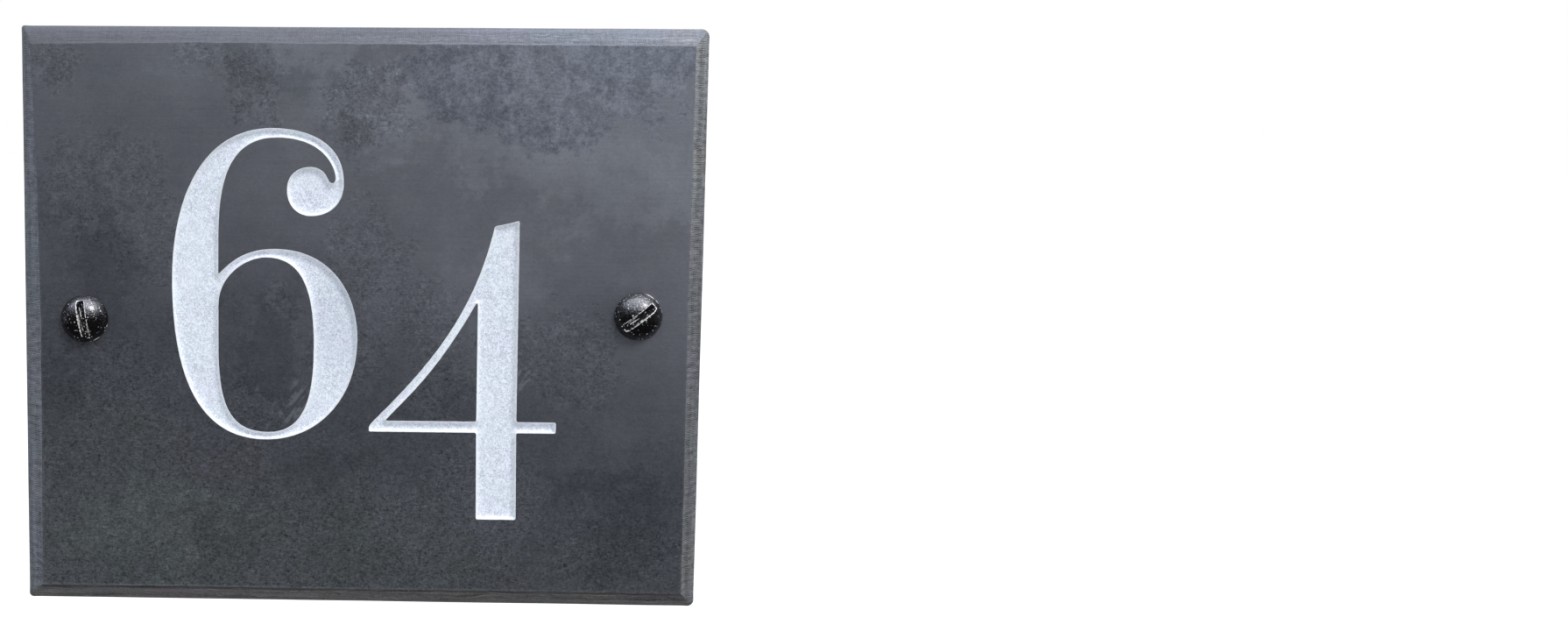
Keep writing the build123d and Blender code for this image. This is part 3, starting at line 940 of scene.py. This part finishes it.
def makeScrew(name, which):
    shell = Shell()
    radius, tall, rim = screws["headRadius"], screws["headHeight"], screws["headRim"]
    low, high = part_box(which["node"])
    centre = ((low.x + high.x) / 2 / mm, (low.z + high.z) / 2 / mm)
    turn, seed = math.radians(which["angle"]), which["seed"]
    arc = (radius ** 2 + (tall - rim) ** 2) / (2 * (tall - rim))

    def spot(u, v, height):
        x = centre[0] + u * math.cos(turn) - v * math.sin(turn)
        z = centre[1] + u * math.sin(turn) + v * math.cos(turn)
        return x, face - height, z

    half, ease = screws["slotHalf"], screws["slotEase"]
    curve = np.sin(np.linspace(-0.5, 0.5, 66) * math.pi) * radius
    curve = curve[np.abs(curve) > half + 0.22]
    close = half + np.array([-0.05, -0.02, 0.02, 0.05, 0.09, 0.14, 0.2])
    across = np.sort(np.concatenate([curve[1:-1], close, -close, np.linspace(-half + 0.14, half - 0.14, 11)]))
    along = np.sin(np.linspace(-0.5, 0.5, 72) * math.pi)

    def headSpot(u, v):
        # where it lies, and how worn it is, the worn places painted bright partly as glints
        r = min(radius, math.hypot(u, v))
        dome = tall - (arc - math.sqrt(arc ** 2 - r ** 2))
        dents = noise.fractal(Vector((u * 0.7, v * 0.7, seed)), 1.0, 2.0, 3)
        dome -= screws["paintWave"] * (0.6 + 0.6 * dents) * float(smooth(radius - r, 0.0, 0.5))
        edge = half + 0.04 * wave(u * 1.6, seed, 0.5 if v > 0 else 5.5)
        edge *= math.sqrt(max(0.0, 1 - (max(0.0, abs(u) - 3.2) / 1.4) ** 2))
        inSlot = float(smooth(edge - abs(v), -0.015, 0.03))
        rounding = max(0.0, 1 - (abs(v) - edge) / (2 * ease)) if abs(v) > edge else 1.0
        floor = screws["slotFloor"] + 0.05 * wave(u * 0.9, v * 3.0, seed + 2)
        height = dome - ease * 0.5 * rounding ** 2 * (dome > floor)
        height = min(height, height * (1 - inSlot) + floor * inSlot)
        # the slot's edges worn pale, partly a painted glint
        lipWearAndGlint = (1 - inSlot) * min(1.0, max(0.0, 1.7 - abs(abs(v) - edge) / 0.12)) * (dome > floor - 0.15)
        beads = min(1.25, max(0.25, 0.8 + 1.3 * wave(u * 2.4, v, seed + 3)))
        lipWearAndGlint *= beads
        streak = 2.6 * (wave(u * 0.3, v * 9.0, seed + 4) - 0.12) * (dome > floor)
        streak *= min(1.3, max(0.3, 0.8 + 1.4 * wave(u * 2.8, v * 5.0, seed + 9)))
        mouth = inSlot * (0.15 + beads) * max(0.0, 1 - abs(dome - floor) / 0.15)
        # a pale arc at the rim where the paint is worn, partly a painted glint
        lean = math.cos(math.atan2(v, u) + turn - math.radians(which["rubbed"]))
        rimWearAndGlint = float(smooth(r, radius - 0.2, radius - 0.08) * smooth(lean, 0.7, 0.9))
        rimWearAndGlint *= beads * (0.6 + wave(u * 0.8, v * 0.8, seed + 7))
        return spot(u, v, height), max(lipWearAndGlint, inSlot * min(0.8, streak), mouth * 0.9, rimWearAndGlint, 0.0)

    grid = []
    for v in across:
        chord = math.sqrt(radius ** 2 - v ** 2)
        row, wears = zip(*(headSpot(share * chord, v) for share in along))
        grid.append(shell.add(row))
        shell.note("wearAndGlint", grid[-1], wears)
    for a, b in zip(grid, grid[1:]):
        shell.cover(np.column_stack([a[:-1], a[1:], b[1:], b[:-1]]), 0)

    # round the rim of the dome: up the end of each row, along the last row and back
    ring = np.array([*grid[0], *(ids[-1] for ids in grid[1:-1]), *grid[-1][::-1],
                     *(ids[0] for ids in grid[-2:0:-1])])
    flat = [(math.atan2(s[2] - centre[1], s[0] - centre[0])) for s in (shell.spots[i] for i in ring)]
    rubbed = math.radians(which["rubbed"])

    def lathe(radii):
        nonlocal ring
        for r, y, worn in radii:
            row = shell.add([(centre[0] + r * math.cos(t), y, centre[1] + r * math.sin(t)) for t in flat])
            shell.band(ring, row, 0)
            shell.note("wearAndGlint", row, [worn * smooth(math.cos(t - rubbed), 0.6, 0.95) for t in flat])
            ring = row

    seat, shank = face + 0.012, screws["shankRadius"]
    # the rim's side carries the same pale arc, partly a painted glint
    lathe([(radius, face - 0.3, 0.7), (radius, face - 0.12, 0.9), (radius - 0.06, seat, 0.2),
           (shank + 0.6, seat, 0), (shank + 0.12, seat + 0.05, 0), (shank, seat + 0.25, 0),
           (shank, face + 7.0, 0), (shank, face + screws["smooth"] - 0.6, 0.1)])

    # the thread: one ridge that winds down the core and runs out at the point
    start, tip = face + screws["smooth"] - 0.6, face + screws["tip"]
    step, pointStart = screws["threadStep"], face + screws["tip"] - screws["point"]
    for y in np.arange(start + step, tip - 0.25, step):
        taper = min(1.0, max(0.0, (tip - y) / screws["point"]))
        begin = float(smooth(y, start, start + 1.2))
        core = shank + (screws["coreRadius"] - shank) * begin
        row, wears = [], []
        for t in flat:
            phase = ((y - start) / screws["pitch"] - t / (2 * math.pi)) % 1.0
            ridge = max(0.0, 1 - abs(phase - 0.5) / 0.24) ** 0.8
            grown = float(smooth(y, start + 0.2, start + 2.4))
            crest = (screws["crestRadius"] - screws["coreRadius"]) * ridge * grown
            r = core * (taper if y > pointStart else 1) + crest * min(1.0, taper * 1.5)
            row.append((centre[0] + r * math.cos(t), y, centre[1] + r * math.sin(t)))
            wears.append(0.35 * (ridge * grown) ** 3)
        ids = shell.add(row)
        shell.band(ring, ids, 0)
        shell.note("wearAndGlint", ids, wears)
        ring = ids
    last = shell.add([(centre[0], tip, centre[1])])[0]
    shell.cover([(ring[i], last, ring[(i + 1) % len(ring)]) for i in range(len(ring))], 0)
    shell.piece(name, which["node"], [blackJapan], 42)


makeScrew("leftScrew", screws["left"])
makeScrew("rightScrew", screws["right"])


# Floor, light and camera

studio = {
    "floorHeight": -0.16, "floorReach": 12.0, "floorColour": (0.45, 0.45, 0.45, 1), "floorGlow": 0.60,
    "mirroredFloor": (0.015, 0.015, 0.015, 1),
    "whiteFrom": 0.3,             # how far back the floor starts to be white in gloss
    "whiteBehind": (0.55, 0.9),   # how squarely behind the sign the room turns white in gloss
    "room": ((0.0, (0.68, 0.69, 0.71)), (0.45, (0.76, 0.78, 0.825)), (0.6, (0.815, 0.85, 0.905)),
             (1.0, (0.95, 0.995, 1.06))),
    "mirroredRoom": ((0.0, (0.01, 0.01, 0.01)), (0.62, (0.03, 0.03, 0.04)), (0.75, (0.5, 0.53, 0.66)),
                     (0.88, (2.6, 2.75, 3.2)), (1.0, (4.2, 4.4, 5.0))),
    "white": (1, 1, 1),
    "sun": 1.7, "sunAngle": 20.0, "sunRise": 46.0, "sunTurn": 42.0, "sunColour": (1.0, 0.975, 0.94),
}

reach, level = studio["floorReach"], studio["floorHeight"]
floorMesh = bpy.data.meshes.new("paleFloor")
floorMesh.from_pydata([(x * reach, y * reach, level) for x, y in ((-1, -1), (1, -1), (1, 1), (-1, 1))],
                      [], [(0, 1, 2, 3)])
paleFloor = newObject("paleFloor", floorMesh)

floorFinish = bpy.data.materials.new("paleFloor")
floorFinish.use_nodes = True
net = Net(floorFinish.node_tree)
seen = net.place("LightPath").outputs
mirrored = net.most(seen["Is Glossy Ray"], seen["Is Transmission Ray"])
depth = net.split(net.place("TexCoord").outputs["Object"])[1]
# gloss shows the white floor behind the sign, and a dark one before it
before = net.times(mirrored, net.below(depth, studio["whiteFrom"]))
shown = net.most(seen["Is Camera Ray"], mirrored)
matt = net.out("BsdfDiffuse", {"Color": studio["floorColour"]})
glow = net.out("Emission", {"Strength": net.times(shown, studio["floorGlow"])})
both = net.out("AddShader", {0: matt, 1: glow})
dark = net.out("Emission", {"Color": studio["mirroredFloor"]})
net.place("OutputMaterial", {0: net.out("MixShader", {0: before, 1: both, 2: dark})})
floorMesh.materials.append(floorFinish)

world = bpy.data.worlds.new("room")
bpy.context.scene.world = world
world.use_nodes = True
net = Net(world.node_tree)
way = net.split(net.place("TexCoord").outputs["Generated"])
height = net.mulAdd(way[2], 0.5, 0.5)
seen = net.place("LightPath").outputs
# gloss shows the white backdrop behind the sign, and in front of it a room that is bright only overhead
behind = net.times(net.span(way[1], *studio["whiteBehind"]), net.below(seen["Glossy Depth"], 1.5))
mirroredRoom = net.blend(behind, net.ramp(height, studio["mirroredRoom"]), studio["white"])
mirrored = net.most(seen["Is Glossy Ray"], seen["Is Transmission Ray"])
roomLight = net.blend(mirrored, net.ramp(height, studio["room"]), mirroredRoom)
shown = net.blend(seen["Is Camera Ray"], roomLight, studio["white"])
net.place("OutputWorld", {0: net.out("Background", {"Color": shown, "Strength": 1.0})})

sunLamp = bpy.data.lights.new("softSun", "SUN")
sunLamp.energy, sunLamp.angle = studio["sun"], math.radians(studio["sunAngle"])
sunLamp.color = studio["sunColour"]
softSun = newObject("softSun", sunLamp)
rise, turn = math.radians(studio["sunRise"]), math.radians(studio["sunTurn"])
towards = Vector((math.sin(turn) * math.cos(rise), -math.cos(turn) * math.cos(rise), math.sin(rise)))
softSun.rotation_euler = towards.to_track_quat("Z", "Y").to_euler()

# the camera, solved from the sign's corners: place in mm, angles in degrees, the rest in pixels
view = {
    "position": (10.996, -372.75, 39.99), "pitch": 6.0835, "yaw": -1.5936, "roll": 0.4192,
    "focal": 1900.0, "imageWidth": 1790.0, "imageHeight": 704.0, "centre": (417.0, 360.0),
    "sensor": 36.0,
}
pitch, yaw, roll = (math.radians(view[k]) for k in ("pitch", "yaw", "roll"))
ahead = Vector((math.sin(yaw) * math.cos(pitch), math.cos(yaw) * math.cos(pitch), -math.sin(pitch)))
right = Vector((math.cos(yaw), -math.sin(yaw), 0))
up = right.cross(ahead)
right, up = right * math.cos(roll) + up * math.sin(roll), up * math.cos(roll) - right * math.sin(roll)
cameraData = bpy.data.cameras.new("camera")
cameraData.sensor_width = view["sensor"]
cameraData.lens = view["focal"] * view["sensor"] / view["imageWidth"]
cameraData.shift_x = (view["imageWidth"] / 2 - view["centre"][0]) / view["imageWidth"]
cameraData.shift_y = (view["centre"][1] - view["imageHeight"] / 2) / view["imageWidth"]
cameraData.clip_start = 0.01
camera = newObject("camera", cameraData)
facing = Matrix((right, up, -ahead)).transposed().to_4x4()
camera.matrix_world = Matrix.Translation(Vector(view["position"]) * mm) @ facing
bpy.context.scene.camera = camera
bpy.context.scene.view_settings.view_transform = "Standard"
print("floor, light and camera")
